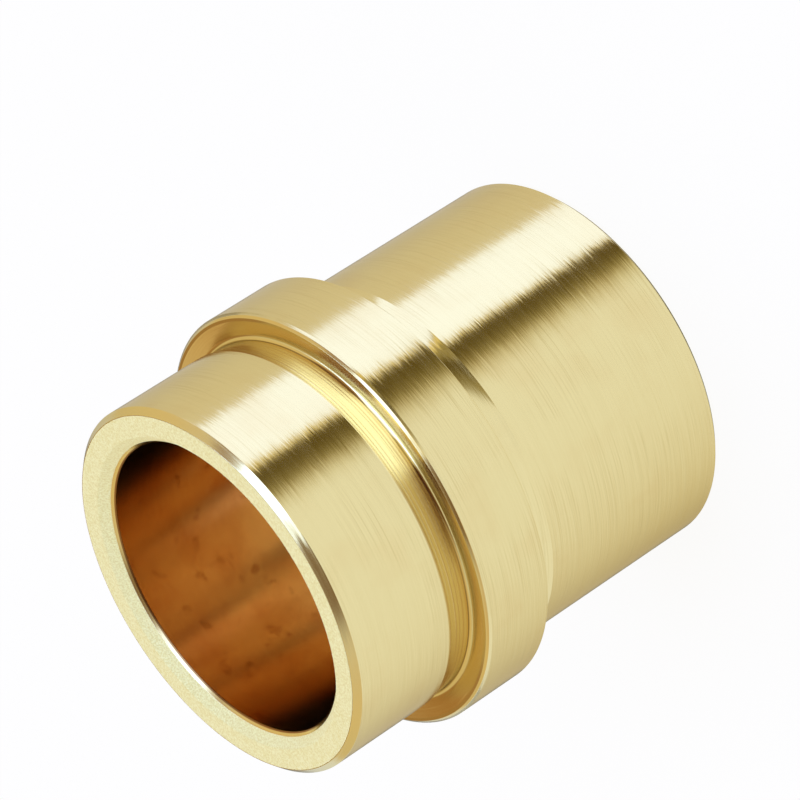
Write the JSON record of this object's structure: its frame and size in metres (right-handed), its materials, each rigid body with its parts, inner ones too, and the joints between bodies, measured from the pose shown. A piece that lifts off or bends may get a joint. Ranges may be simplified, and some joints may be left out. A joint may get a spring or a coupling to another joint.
{
  "type": "guide bushing",
  "caption": "Plain guide bushing turned in one piece: a collar between a front spigot and a longer rear body, with a through bore for a guide pillar.",
  "frame": {"origin": "centre of the rear end face, which the bushing stands on", "axes": "+Z along the bore axis, from the rear end towards the front spigot; X and Y are any two radii"},
  "size_m": [0.043, 0.043, 0.046],
  "materials": {
    "turned_brass": "fine turned, satin, bare metal"
  },
  "bodies": {
    "root": {"guide_bushing": "turned_brass"}
  },
  "joints": []
}
